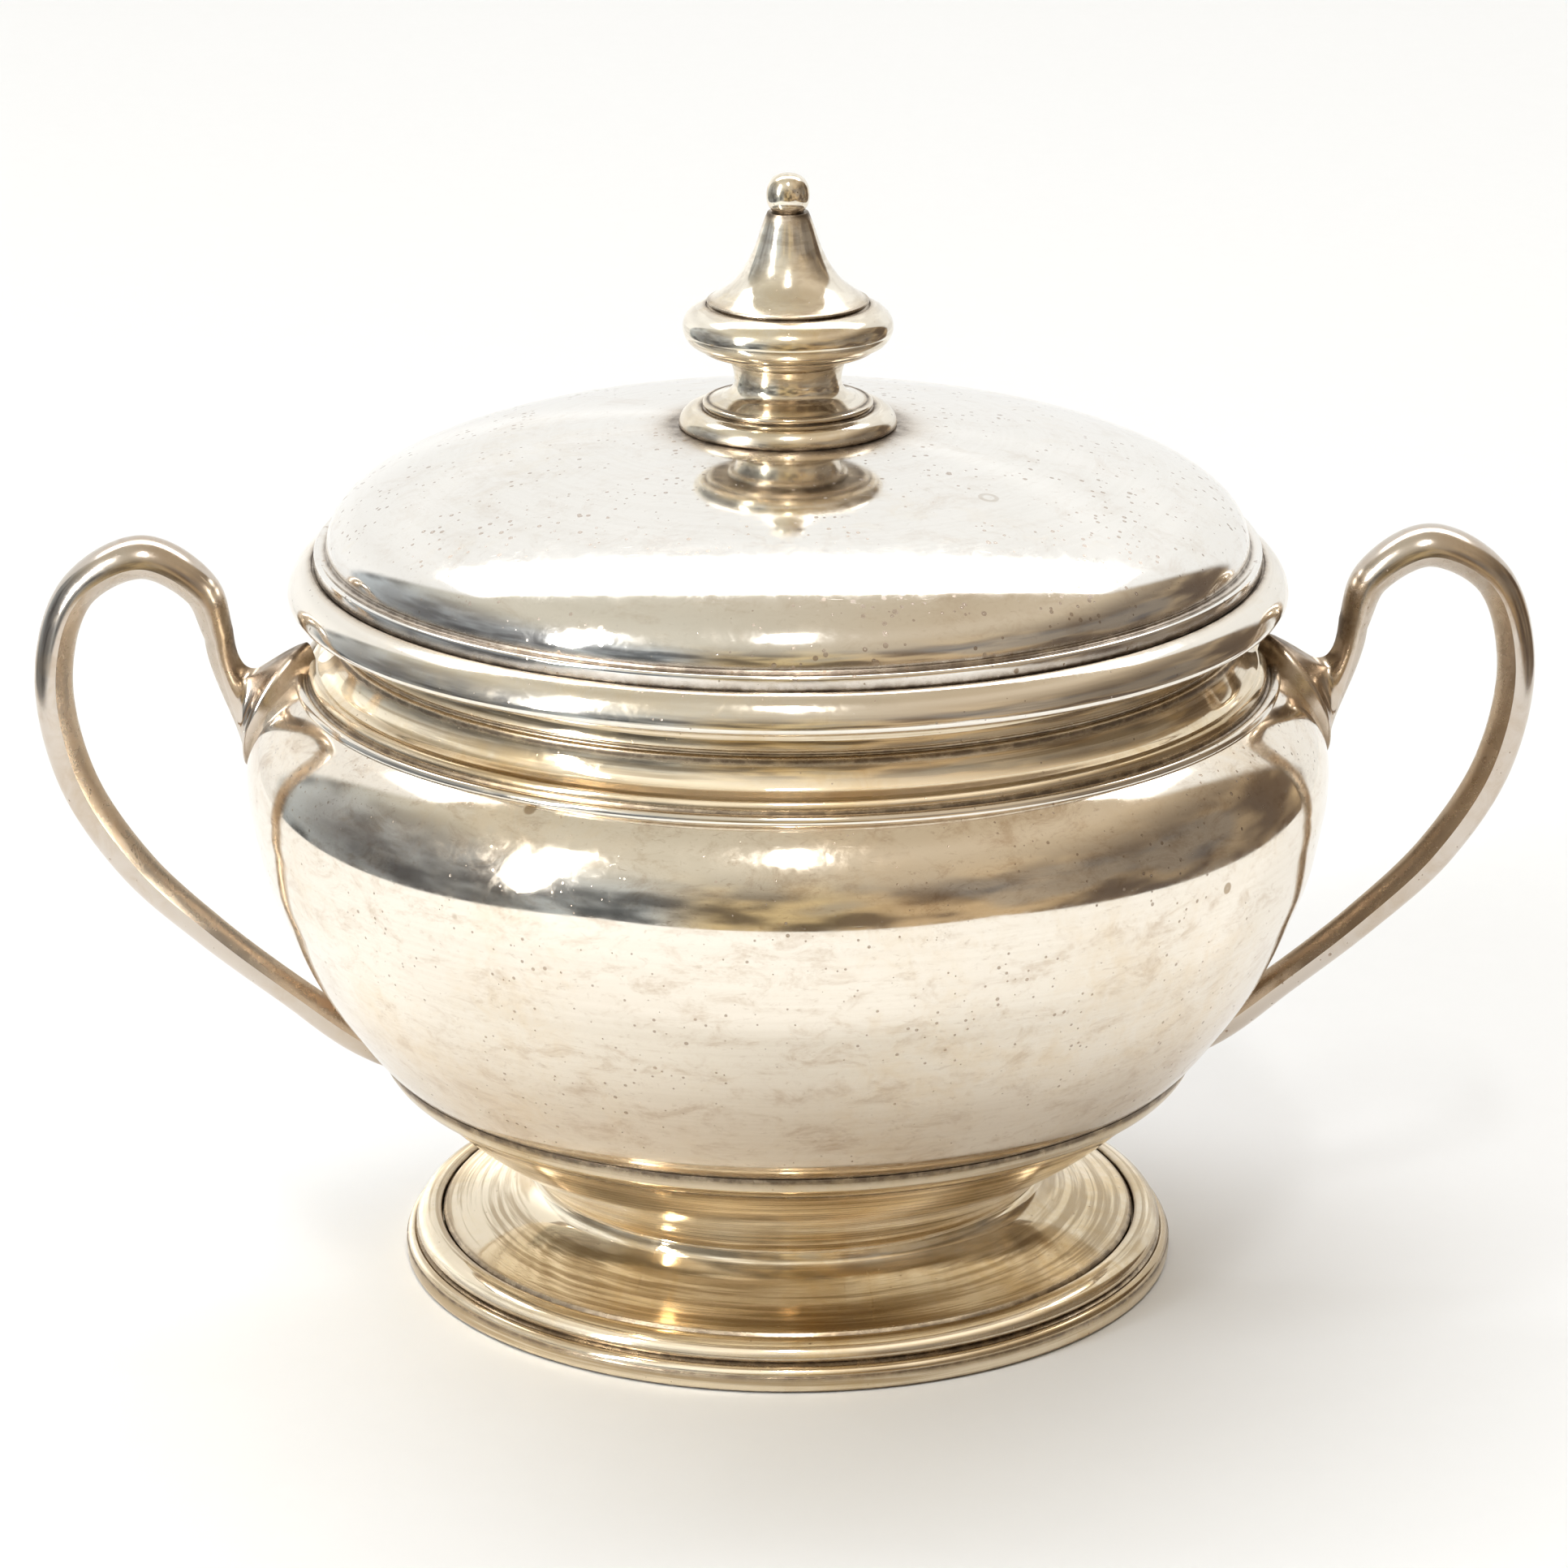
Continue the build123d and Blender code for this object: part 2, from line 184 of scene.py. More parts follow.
def eased(outline, radius):
    """The outline with each sharp corner cut to a small round of about the given radius."""
    count = len(outline)
    out = []
    for i, point in enumerate(outline):
        before, after = Vector(outline[i - 1]), Vector(outline[(i + 1) % count])
        here = Vector(point)
        to_before, to_after = before - here, after - here
        turn = math.pi - to_before.angle(to_after)
        if turn < SHARP_CORNER or here.x < 1e-6:
            out.append(point)
            continue
        reach = min(radius, MOST_OF_EDGE * to_before.length, MOST_OF_EDGE * to_after.length)
        first = here + to_before.normalized() * reach
        last = here + to_after.normalized() * reach
        for s in range(ROUND_POINTS):
            t = s / (ROUND_POINTS - 1)
            q = first * (1 - t) ** 2 + here * 2 * t * (1 - t) + last * t * t
            out.append((q.x, q.y))
    return out


# ---- Mesh helpers -------------------------------------------------------------------------------
def finished(node, bm, body, material, sharp_degrees=38):
    """Turn a bmesh into a smooth-shaded piece that rides on a body and stands for a CAD node."""
    name = "look_" + node
    bmesh.ops.recalc_face_normals(bm, faces=bm.faces)
    mesh = bpy.data.meshes.new(name)
    bm.to_mesh(mesh)
    bm.free()
    mesh.shade_smooth()
    mesh.set_sharp_from_angle(angle=math.radians(sharp_degrees))
    obj = bpy.data.objects.new(name, mesh)
    bpy.context.scene.collection.objects.link(obj)
    mesh.materials.append(material)
    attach(obj, body)
    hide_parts(node)


def fitted(outline, node):
    """The outline scaled to the radius and heights of the CAD node's box."""
    low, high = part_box(node)
    radius = high.y / MM
    bottom, top = low.z / MM, high.z / MM
    widest = max(r for r, _ in outline)
    lowest = min(z for _, z in outline)
    highest = max(z for _, z in outline)
    grow = radius / widest
    stretch = (top - bottom) / (highest - lowest)
    if abs(grow - 1) > RADIUS_TOLERANCE or abs(stretch - 1) > HEIGHT_TOLERANCE:
        raise RuntimeError(f"{node}: outline doesn't match its CAD node: {grow:.3f} {stretch:.3f}")
    return [(r * grow, bottom + (z - lowest) * stretch) for r, z in outline]


def skin(bm, lower, upper):
    """Faces between two rings of vertices. A ring of one vertex is a point on the axis."""
    count = max(len(lower), len(upper))
    if count == 1:
        return
    for k in range(count):
        n = (k + 1) % count
        if len(lower) == 1:
            bm.faces.new((lower[0], upper[n], upper[k]))
        elif len(upper) == 1:
            bm.faces.new((lower[k], lower[n], upper[0]))
        else:
            bm.faces.new((lower[k], lower[n], upper[n], upper[k]))


def turned(node, body, outline, material, around, ease=0.12, grooves=()):
    """A piece spun about the axis. grooves: (radius, height, spread) where dirt and tarnish gather, and on
    the bowl's underside tarnish with painted shade.
    """
    outline = fitted(eased(outline, ease), node)
    bm = bmesh.new()
    patina_and_shade = bm.verts.layers.float.new("patina_and_shade")
    rings = []
    for r, z in outline:
        tarnish_and_shade_amount = max([math.exp(-((math.dist((r, z), g[:2]) / g[2]) ** 2)) for g in grooves], default=0.0)
        if r < 1e-5:
            verts = [bm.verts.new((0, 0, z * MM))]
        else:
            angles = [TURN * k / around for k in range(around)]
            verts = [bm.verts.new((r * MM * math.cos(a), r * MM * math.sin(a), z * MM)) for a in angles]
        for v in verts:
            v[patina_and_shade] = tarnish_and_shade_amount
        rings.append(verts)
    for lower, upper in zip(rings, rings[1:] + rings[:1]):
        skin(bm, lower, upper)
    finished(node, bm, body, material)


# ---- Node graphs --------------------------------------------------------------------------------
MIX_A, MIX_B, MIX_RESULT = 6, 7, 2        # a Mix node's colour sockets


class Graph:
    """A node tree, with a method for each kind of node that is used often."""

    def __init__(self, tree):
        self.tree = tree
        self.link = tree.links.new

    def make(self, kind, **values):
        """A new node. Each value sets the node's property of that name, or else its input."""
        node = self.tree.nodes.new(kind)
        for key, value in values.items():
            if key in node.bl_rna.properties:
                setattr(node, key, value)
            else:
                node.inputs[key].default_value = value
        return node

    def feed(self, socket, value):
        """Set a socket to a number or a colour, or link another node's output to it."""
        if isinstance(value, (int, float)):
            socket.default_value = value
        elif isinstance(value, tuple):
            socket.default_value = (*value, 1.0)
        elif value is not None:
            self.link(value, socket)

    def calc(self, operation, a, b=None, clamp=False):
        """One sum on numbers or outputs."""
        node = self.make("ShaderNodeMath", operation=operation, use_clamp=clamp)
        self.feed(node.inputs[0], a)
        self.feed(node.inputs[1], b)
        return node.outputs[0]

    def noise(self, vector, scale, detail, rough, distortion=0.0):
        """Smooth noise from 0 to 1. detail: how many finer layers; rough: how strong they are."""
        node = self.make("ShaderNodeTexNoise", Scale=scale, Detail=detail, Roughness=rough)
        node.inputs["Distortion"].default_value = distortion
        self.link(vector, node.inputs["Vector"])
        return node.outputs["Fac"]

    def cells(self, vector, scale):
        """Distance to the nearest of many scattered points, and that point's own random numbers."""
        node = self.make("ShaderNodeTexVoronoi", feature="F1", Scale=scale, Randomness=1.0)
        self.link(vector, node.inputs["Vector"])
        kind = self.make("ShaderNodeSeparateColor")
        self.link(node.outputs["Color"], kind.inputs[0])
        return node.outputs["Distance"], kind.outputs

    def stretched(self, vector, scale, turn=(0.0, 0.0, 0.0)):
        """The vector scaled along each axis, and turned."""
        node = self.make("ShaderNodeMapping")
        node.inputs["Rotation"].default_value = turn
        node.inputs["Scale"].default_value = scale
        self.link(vector, node.inputs["Vector"])
        return node.outputs[0]

    def span(self, value, low, high, to_low=0.0, to_high=1.0):
        """The value carried smoothly from the range low to high over to another range."""
        node = self.make("ShaderNodeMapRange", interpolation_type="SMOOTHSTEP")
        for socket, number in zip(node.inputs, (value, low, high, to_low, to_high)):
            self.feed(socket, number)
        return node.outputs["Result"]

    def mix(self, factor, a, b, blend="MIX"):
        """Colour a where the factor is 0, b where it is 1."""
        node = self.make("ShaderNodeMix", data_type="RGBA", blend_type=blend)
        self.feed(node.inputs["Factor"], factor)
        self.feed(node.inputs[MIX_A], a)
        self.feed(node.inputs[MIX_B], b)
        return node.outputs[MIX_RESULT]


# ---- Silver -------------------------------------------------------------------------------------
FRECKLE_BROWN = (0.24, 0.15, 0.09)
LINE_BROWN = (0.36, 0.25, 0.12)
SMEAR_BROWN = (0.56, 0.42, 0.29)
FINE_SMEAR_BROWN = (0.44, 0.32, 0.22)
DROP_BROWN = (0.36, 0.25, 0.14)
LOW_SHADE_TINT = (0.66, 0.58, 0.49)             # painted shade: multiplies the colour low on the bowl, where it mirrors shaded paper
HALO_BROWN = (0.55, 0.40, 0.24)
TARNISH_AND_SHADE_BLACK = (0.06, 0.04, 0.03)
TARNISH_AND_SHADE_STRENGTH = 0.9
LINES_ROUND, LINES_ALONG = 1.6, 2.2       # how fast turning lines change round the axis and along the profile
LINE_HEIGHT = 0.022                       # relief, in millimetres: turning lines where fully brushed
SCRATCH_DEPTH = 0.0010
PIT_DEPTH = 0.012
WAVE_HEIGHT = 0.030                       # slow unevenness
MOTTLE_HEIGHT = 0.0014
LOW_FULL, LOW_END = 37.0, 50.0            # heights at which the painted shade low on the bowl is still full, and gone
RINGLESS = 0.55                           # share of the drops that left no ring
STREAK_ROUGHNESS = 0.5                    # how far polishing lines draw a light out
STREAK_ONE_WAY = 0.98                     # and how little they spread it sideways
HAIRLINES = [                             # turn of each set of hairlines, and how sparse it is
    ((0.3, 0.5, 0.2), 0.70),
    ((1.2, -0.4, 1.1), 0.71),
    ((0.1, 1.1, 2.3), 0.72),
]


def places(g):
    """A point in millimetres, its height, and coordinates that stay nearly still round the axis."""
    scaled = g.make("ShaderNodeVectorMath", operation="SCALE", Scale=1 / MM)
    g.link(g.make("ShaderNodeTexCoord").outputs["Object"], scaled.inputs[0])
    mm = scaled.outputs[0]
    parts = g.make("ShaderNodeSeparateXYZ")
    g.link(mm, parts.inputs[0])
    x, y, z = parts.outputs
    radius = g.calc("SQRT", g.calc("ADD", g.calc("MULTIPLY", x, x), g.calc("MULTIPLY", y, y)))
    safe = g.calc("MAXIMUM", radius, 0.5)
    lathe = g.make("ShaderNodeCombineXYZ")
    g.link(g.calc("MULTIPLY", g.calc("DIVIDE", x, safe), LINES_ROUND), lathe.inputs[0])
    g.link(g.calc("MULTIPLY", g.calc("DIVIDE", y, safe), LINES_ROUND), lathe.inputs[1])
    g.link(g.calc("MULTIPLY", g.calc("ADD", z, radius), LINES_ALONG), lathe.inputs[2])
    return mm, z, lathe.outputs[0]


def freckled(g, mm, colour, freckles):
    """Small brown specks, crowded where a slow noise is high, among cloudy stains."""
    distance, kind = g.cells(mm, scale=0.95)
    crowd = g.noise(mm, scale=0.08, detail=4.0, rough=0.65)
    size = g.span(crowd, 0.36, 0.62, 0.05, 0.07 + 0.27 * freckles)
    speck = g.calc("LESS_THAN", distance, g.calc("MULTIPLY", size, kind[0]))
    cloudy = g.noise(mm, scale=0.9, detail=8.0, rough=0.75, distortion=1.5)
    stain = g.span(cloudy, 0.60, 0.80, 0.0, 0.55 * freckles)
    spotted = g.calc("MAXIMUM", g.calc("MULTIPLY", speck, 0.6), g.calc("MULTIPLY", stain, 0.6))
    pits = g.calc("MULTIPLY", g.span(distance, 0.03, 0.09, 1.0, 0.0), speck)
    return g.mix(spotted, colour, FRECKLE_BROWN), spotted, pits


def smeared(g, mm, colour, smears):
    """Handling smears that run round the piece, and brown rings left by drops."""
    flat = g.stretched(mm, (0.16, 0.16, 0.34))
    large = g.noise(flat, scale=1.0, detail=9.0, rough=0.74, distortion=0.5)
    colour = g.mix(g.span(large, 0.48, 0.72, 0.0, 0.60 * smears), colour, SMEAR_BROWN)
    fine = g.noise(flat, scale=5.0, detail=5.0, rough=0.75, distortion=0.6)
    colour = g.mix(g.span(fine, 0.55, 0.76, 0.0, 0.50 * smears), colour, FINE_SMEAR_BROWN)
    distance, kind = g.cells(mm, scale=0.085)
    gap = g.calc("ABSOLUTE", g.calc("SUBTRACT", distance, g.calc("MULTIPLY", kind[1], 0.11)))
    ring = g.span(gap, 0.008, 0.022, 0.75 * smears, 0.0)
    chosen = g.calc("GREATER_THAN", kind[0], RINGLESS)
    return g.mix(g.calc("MULTIPLY", ring, chosen), colour, DROP_BROWN)


def grooved(g, mm, colour):
    """Dark tarnish in the grooves, with a brown halo, from the mesh's own darkening value; the same value
    paints shade on the bowl's underside and a dark reflection on the handles' waist.
    """
    tarnish_and_shade_amount = g.make("ShaderNodeAttribute", attribute_name="patina_and_shade").outputs["Fac"]
    uneven = g.span(g.noise(mm, scale=0.5, detail=5.0, rough=0.7), 0.25, 0.7, 0.75, 1.2)
    groove_tarnish_and_shade = g.calc("MULTIPLY", g.calc("MULTIPLY", tarnish_and_shade_amount, uneven, clamp=True), TARNISH_AND_SHADE_STRENGTH)
    halo = g.calc("MULTIPLY", g.calc("POWER", groove_tarnish_and_shade, 0.6), 0.6)
    colour = g.mix(halo, colour, HALO_BROWN)
    return g.mix(g.calc("POWER", groove_tarnish_and_shade, 2.0), colour, TARNISH_AND_SHADE_BLACK), groove_tarnish_and_shade


def scratched(g, mm):
    """Crossed hairlines left by cleaning."""
    scratch = None
    for turn, sparse in HAIRLINES:
        hair = g.noise(g.stretched(mm, (0.10, 3.2, 3.2), turn), scale=1.0, detail=2.0, rough=0.5)
        line = g.span(hair, sparse, sparse + 0.05)
        scratch = line if scratch is None else g.calc("MAXIMUM", scratch, line)
    return scratch


def silver(name, clean, warm, tone_share, roughness, freckles, brushed, streak, low_shade=0.0, smears=0.0):
    """Polished silver with warm patches, freckles, hairlines, turning lines and dark grooves, with painted
    shade low on the piece where asked and wherever the mesh's own darkening value carries it.
    """
    material = bpy.data.materials.new(name)
    material.use_nodes = True
    material.node_tree.nodes.clear()
    g = Graph(material.node_tree)
    mm, z, lathe = places(g)

    # Tone: broad warm clouds and finer mottling.
    broad = g.noise(mm, scale=0.045, detail=4.0, rough=0.6, distortion=0.4)
    mottle = g.noise(mm, scale=0.35, detail=6.0, rough=0.7, distortion=0.8)
    cloud = g.calc("ADD", g.calc("MULTIPLY", broad, 0.65), g.calc("MULTIPLY", mottle, 0.35))
    tone = g.span(cloud, 0.60 - 0.25 * tone_share, 0.86 - 0.25 * tone_share)
    colour = g.mix(tone, clean, warm)
    colour, spotted, pits = freckled(g, mm, colour, freckles)

    # Turning lines: brown tarnish stays in the low ones.
    lines = g.noise(lathe, scale=0.75, detail=3.0, rough=0.6)
    colour = g.mix(g.span(lines, 0.40, 0.56, 0.75 * brushed, 0.0), colour, LINE_BROWN)
    if smears:
        colour = smeared(g, mm, colour, smears)
    # Painted shade: darker towards the bottom of the bowl, for the shaded paper by the foot that it mirrors.
    if low_shade:
        wavy = g.calc("ADD", z, g.calc("MULTIPLY", broad, 10.0))
        colour = g.mix(g.span(wavy, LOW_FULL, LOW_END, low_shade, 0.0), colour, LOW_SHADE_TINT, blend="MULTIPLY")
    colour, groove_tarnish_and_shade = grooved(g, mm, colour)

    # Relief: turning lines, hairlines, pits under the specks, and a faint unevenness.
    scratch = scratched(g, mm)
    wave = g.noise(mm, scale=0.11, detail=1.0, rough=0.5)
    height = g.calc("MULTIPLY", lines, brushed * LINE_HEIGHT)
    height = g.calc("SUBTRACT", height, g.calc("MULTIPLY", scratch, SCRATCH_DEPTH))
    height = g.calc("SUBTRACT", height, g.calc("MULTIPLY", pits, PIT_DEPTH))
    height = g.calc("ADD", height, g.calc("MULTIPLY", wave, WAVE_HEIGHT))
    height = g.calc("ADD", height, g.calc("MULTIPLY", mottle, MOTTLE_HEIGHT))
    bump = g.make("ShaderNodeBump", Strength=1.0, Distance=MM)
    g.link(height, bump.inputs["Height"])

    rough = g.calc("ADD", g.span(mottle, 0.35, 0.75, 0.0, 0.07), roughness)
    rough = g.calc("ADD", rough, g.calc("MULTIPLY", tone, 0.05))
    rough = g.calc("ADD", rough, g.calc("MULTIPLY", scratch, 0.05))
    stain_and_shade_roughness = g.calc("MULTIPLY", g.calc("ADD", spotted, groove_tarnish_and_shade), 0.30)
    rough = g.calc("ADD", rough, stain_and_shade_roughness, clamp=True)

    polished = g.make("ShaderNodeBsdfPrincipled", Metallic=1.0)
    g.link(colour, polished.inputs["Base Color"])
    g.link(rough, polished.inputs["Roughness"])
    g.link(bump.outputs[0], polished.inputs["Normal"])
    # Fine lines from polishing on the lathe draw lights out along the profile.
    drawn = g.make("ShaderNodeBsdfPrincipled", Metallic=1.0, Roughness=STREAK_ROUGHNESS)
    drawn.inputs["Anisotropic"].default_value = STREAK_ONE_WAY
    round_axis = g.make("ShaderNodeTangent", direction_type="RADIAL", axis="Z")
    g.link(round_axis.outputs[0], drawn.inputs["Tangent"])
    g.link(colour, drawn.inputs["Base Color"])
    both = g.make("ShaderNodeMixShader")
    both.inputs[0].default_value = streak
    g.link(polished.outputs[0], both.inputs[1])
    g.link(drawn.outputs[0], both.inputs[2])
    g.link(both.outputs[0], g.make("ShaderNodeOutputMaterial").inputs["Surface"])
    return material


bowl_silver = silver(
    "bowl_silver", clean=(0.92, 0.85, 0.745), warm=(0.85, 0.73, 0.57), tone_share=0.6, roughness=0.06,
    freckles=0.6, brushed=0.06, streak=0.03, low_shade=0.5, smears=1.0,
)
rim_silver = silver(
    "rim_silver", clean=(0.92, 0.87, 0.79), warm=(0.85, 0.75, 0.59), tone_share=0.5, roughness=0.07,
    freckles=0.4, brushed=0.2, streak=0.035,
)
collar_silver = silver(
    "collar_silver", clean=(0.91, 0.80, 0.62), warm=(0.79, 0.61, 0.36), tone_share=0.6, roughness=0.05,
    freckles=0.3, brushed=0.8, streak=0.20,
)
foot_silver = silver(
    "foot_silver", clean=(0.91, 0.81, 0.64), warm=(0.78, 0.61, 0.36), tone_share=0.6, roughness=0.04,
    freckles=0.3, brushed=0.9, streak=0.23,
)
cast_silver = silver(
    "cast_silver", clean=(0.65, 0.58, 0.51), warm=(0.53, 0.42, 0.31), tone_share=0.6, roughness=0.13,
    freckles=0.5, brushed=0.0, streak=0.0,
)
lid_silver = silver(
    "lid_silver", clean=(0.94, 0.915, 0.87), warm=(0.88, 0.81, 0.70), tone_share=0.35, roughness=0.065,
    freckles=1.0, brushed=0.04, streak=0.02, smears=0.4,
)
finial_silver = silver(
    "finial_silver", clean=(0.92, 0.86, 0.75), warm=(0.84, 0.70, 0.45), tone_share=0.55, roughness=0.08,
    freckles=0.25, brushed=0.3, streak=0.05,
)
fixing_metal = silver(
    "fixing_metal", clean=(0.55, 0.54, 0.52), warm=(0.45, 0.38, 0.30), tone_share=0.5, roughness=0.28,
    freckles=0.4, brushed=0.8, streak=0.1,
)


# ---- Bowl ---------------------------------------------------------------------------------------
def shoulder_point(angle, inset=0.0):
    """A point of the bowl's round shoulder, at an angle in degrees above level, moved inward."""
    a = math.radians(angle)
    reach = SHOULDER_ARC - inset
    return (SHOULDER_CENTRE[0] + reach * math.cos(a), SHOULDER_CENTRE[1] + reach * math.sin(a))


def bowl_side(inset):
    """The bowl's curve from the mouth to the axis, moved inward."""
    steps = 40
    shoulder = [shoulder_point(SHOULDER_TOP * (1 - s / steps), inset) for s in range(steps + 1)]
    knots = [
        (61.1, 58.5), (60.97, 56.0), (60.65, 54.0), (59.4, 48.0), (57.9, 44.0), (56.25, 40.0),
        (54.25, 36.0), (51.6, 32.0), (46.7, 26.0), (41.6, 22.9), (30.0, 19.6), (14.0, 18.0), (0.0, 17.8),
    ]
    flank = smooth(knots, 10)
    moved = []
    for i, point in enumerate(flank):
        ahead = Vector(flank[min(i + 1, len(flank) - 1)]) - Vector(flank[max(i - 1, 0)])
        inward = Vector((ahead.y, -ahead.x)).normalized()
        moved.append((max(point[0] + inward.x * inset, 0.0), point[1] + inward.y * inset))
    moved[-1] = (0.0, flank[-1][1] + inset)
    return joined(shoulder, moved)


BOWL_WALL = 1.0
SEAM_TOP = (54.05, 69.7, 0.65)
SEAM_LOW = (46.8, 26.0, 0.9)
# The underside's wide spread darkens it: tarnish, with painted shade for the shaded paper and foot that it
# mirrors.
UNDERSIDE_TARNISH_AND_SHADE = (30.0, 19.6, 9.0)
shell = joined(bowl_side(0.0), bowl_side(BOWL_WALL)[::-1])
turned("bowl_shell", "bowl", shell, bowl_silver, around=288,
       grooves=[SEAM_TOP, SEAM_LOW, UNDERSIDE_TARNISH_AND_SHADE])

collar = joined(
    [(50.8, 78.65)],
    arc((50.8, 78.65), (50.35, 78.1), (50.32, 77.45), 5),
    [(50.5, 77.4), (50.5, 77.15), (50.3, 77.1)],
    arc((50.3, 77.1), (50.3, 76.2), (50.5, 75.5), 6),
    [(50.62, 75.45), (50.62, 75.2), (50.45, 75.15), (50.5, 74.95)],
    arc((50.5, 74.95), (51.0, 74.9), (51.12, 74.6), 4),
    smooth([(51.12, 74.6), (51.2, 73.7), (51.5, 72.7), (52.0, 71.8), (52.8, 71.1)], 6),
    arc((52.8, 71.1), (53.75, 70.6), (53.85, 70.0), 8),
    [(54.0, 69.65), (53.0, 70.07), (51.0, 70.6), (49.3, 70.79), (49.3, 82.6), (50.3, 82.6), (50.3, 78.65)],
)
turned("neck_collar", "bowl", collar, collar_silver, around=288, ease=0.06,
       grooves=[SEAM_TOP, (50.8, 78.6, 0.9), (50.5, 75.2, 0.35), (50.4, 77.3, 0.3), (51.2, 74.5, 0.5)])

WIRE_LOW, WIRE_MIDDLE, WIRE_HIGH = 57.9, 60.9, 63.9      # degrees above level on the shoulder
WIRE_STANDS = 0.6
wire = joined(
    arc(shoulder_point(WIRE_LOW), shoulder_point(WIRE_MIDDLE, -WIRE_STANDS), shoulder_point(WIRE_HIGH), 10),
    arc(shoulder_point(WIRE_HIGH), shoulder_point(WIRE_MIDDLE), shoulder_point(WIRE_LOW), 4),
)
turned("shoulder_wire", "bowl", wire, rim_silver, around=256, ease=0.05, grooves=[SEAM_TOP])

rim = joined(
    [(53.3, 82.75)],
    smooth([(53.4, 82.76), (54.0, 82.5), (54.75, 81.95), (55.3, 81.3), (55.75, 80.5), (55.97, 79.8),
            (56.0, 79.4)], 5),
    arc((56.0, 79.4), (55.8, 78.9), (55.2, 78.65), 7),
    [(50.3, 78.65), (50.3, 82.6), (53.3, 82.6)],
)
turned("rim_band", "bowl", rim, rim_silver, around=288, ease=0.1,
       grooves=[(53.2, 82.7, 0.5), (50.6, 78.6, 1.2)])

# ---- Foot ---------------------------------------------------------------------------------------
under_ring = joined(
    arc((46.9, 26.1), (46.2, 24.4), (44.0, 23.0), 10),
    [(41.9, 23.0), (46.75, 26.08)],
)
turned("foot_collar", "bowl", under_ring, foot_silver, around=256, ease=0.06,
       grooves=[SEAM_LOW, (44.0, 22.9, 0.6)])

flare = smooth([(44.0, 23.0), (42.3, 21.2), (40.9, 19.9), (38.7, 18.0), (35.9, 16.0), (33.2, 14.1),
                (31.2, 12.3), (29.9, 11.0), (29.45, 10.55)], 7)
ridge = arc((29.45, 10.55), (29.5, 10.42), (29.35, 10.3), 3)
spread = smooth([(29.35, 10.3), (29.75, 9.2), (30.6, 8.3), (31.9, 7.45), (33.8, 6.6), (36.6, 5.75),
                 (39.6, 5.12)], 7)
spread_in = smooth([(39.95, 4.05), (36.5, 4.7), (33.3, 5.6), (30.9, 6.7), (29.0, 8.3), (28.1, 10.4)], 7)
flare_in = smooth([(28.1, 10.4), (29.0, 11.7), (30.5, 13.1), (32.5, 14.8), (35.2, 16.8), (38.0, 18.8),
                   (40.1, 20.6), (42.7, 23.0)], 7)
foot = joined(flare, ridge, spread, [(39.95, 4.75)], spread_in, flare_in)
turned("foot_shell", "bowl", foot, foot_silver, around=288, ease=0.04,
       grooves=[(44.0, 23.0, 0.7), (39.95, 4.9, 0.6)])

step = joined(
    smooth([(39.95, 4.45), (40.1, 4.95), (40.5, 5.12), (41.2, 5.1), (42.0, 4.8), (42.65, 4.25),
            (42.95, 3.6)], 5),
    [(42.95, 3.35), (42.6, 2.95), (39.95, 2.95)],
)
turned("foot_step_ring", "bowl", step, foot_silver, around=256, ease=0.03,
       grooves=[(39.95, 4.7, 0.55), (42.75, 3.0, 0.7)])

base = joined(
    [(39.0, 0.0), (43.9, 0.0)],
    arc((43.9, 0.0), (44.15, 0.12), (44.25, 0.4), 4),
    [(44.3, 1.0), (44.26, 1.75), (44.16, 1.8)],
    arc((44.16, 1.8), (43.95, 2.4), (43.4, 2.72), 7),
    [(43.15, 2.65), (42.7, 2.95), (39.0, 2.95)],
)
turned("foot_base_ring", "bowl", base, foot_silver, around=256, ease=0.04,
       grooves=[(42.85, 2.85, 0.6), (44.2, 1.78, 0.2), (44.1, 0.0, 0.3)])


# ---- Handles ------------------------------------------------------------------------------------
def bar_offset(angle, thickness, width):
    """Across and outward offsets of a point of the bar's section: round outside, flatter inside."""
    side, out, crease = width / 2, thickness / 2, CREASE_PLACE * thickness
    across = side * math.cos(angle)
    lift = math.sin(angle)
    if lift >= 0:
        return across, crease + (out - crease) * lift
    depth = 1 - abs(math.cos(angle)) ** INSIDE_FLATNESS
    return across, crease - (out + crease) * depth


def bar_rings(angles):
    """Rings of points down the bar, from its top end at the plate to its foot in the bowl's wall."""
    line = smooth(BAR_STATIONS, 14)
    rings = []
    for i, (x, z, thickness, width) in enumerate(line):
        ahead = Vector(line[min(i + 1, len(line) - 1)][:2]) - Vector(line[max(i - 1, 0)][:2])
        ahead.normalize()
        outward = Vector((-ahead.y, ahead.x))
        ring = []
        for angle in angles:
            across, out = bar_offset(angle, thickness, width)
            ring.append(Vector((x + outward.x * out, across, z + outward.y * out)))
        rings.append(ring)
    return rings


def margin_share(angle):
    """Where a line down the bar, at an angle round it, meets the plate's margin: -1 its top, 1 its tail."""
    height = math.sin(angle)
    if height >= 0:
        return CREASE_SHARE - (1 + CREASE_SHARE) * (2 / math.pi) * math.asin(min(height, 1))
    return CREASE_SHARE + (1 - CREASE_SHARE) * (2 / math.pi) * math.asin(min(-height, 1))


def margin_point(angle, sunk=False):
    """A point on the plate's margin or, sunk, the one under it inside the bowl's wall."""
    share = margin_share(angle)
    place = (share + 1) / 2
    lean = PLATE_LEAN[0] + (PLATE_LEAN[1] - PLATE_LEAN[0]) * place
    lift = PLATE_LIFT[0] + (PLATE_LIFT[1] - PLATE_LIFT[0]) * place
    r, z = shoulder_point(lean, PLATE_DEPTH if sunk else -lift)
    half = PLATE_HALF_WIDTH * (1 - share * share) ** PLATE_FULLNESS
    side = half if math.cos(angle) > 0 else -half
    if abs(math.cos(angle)) < 1e-6:
        side = 0.0
    turn = side / r
    return Vector((r * math.cos(turn), r * math.sin(turn), z))


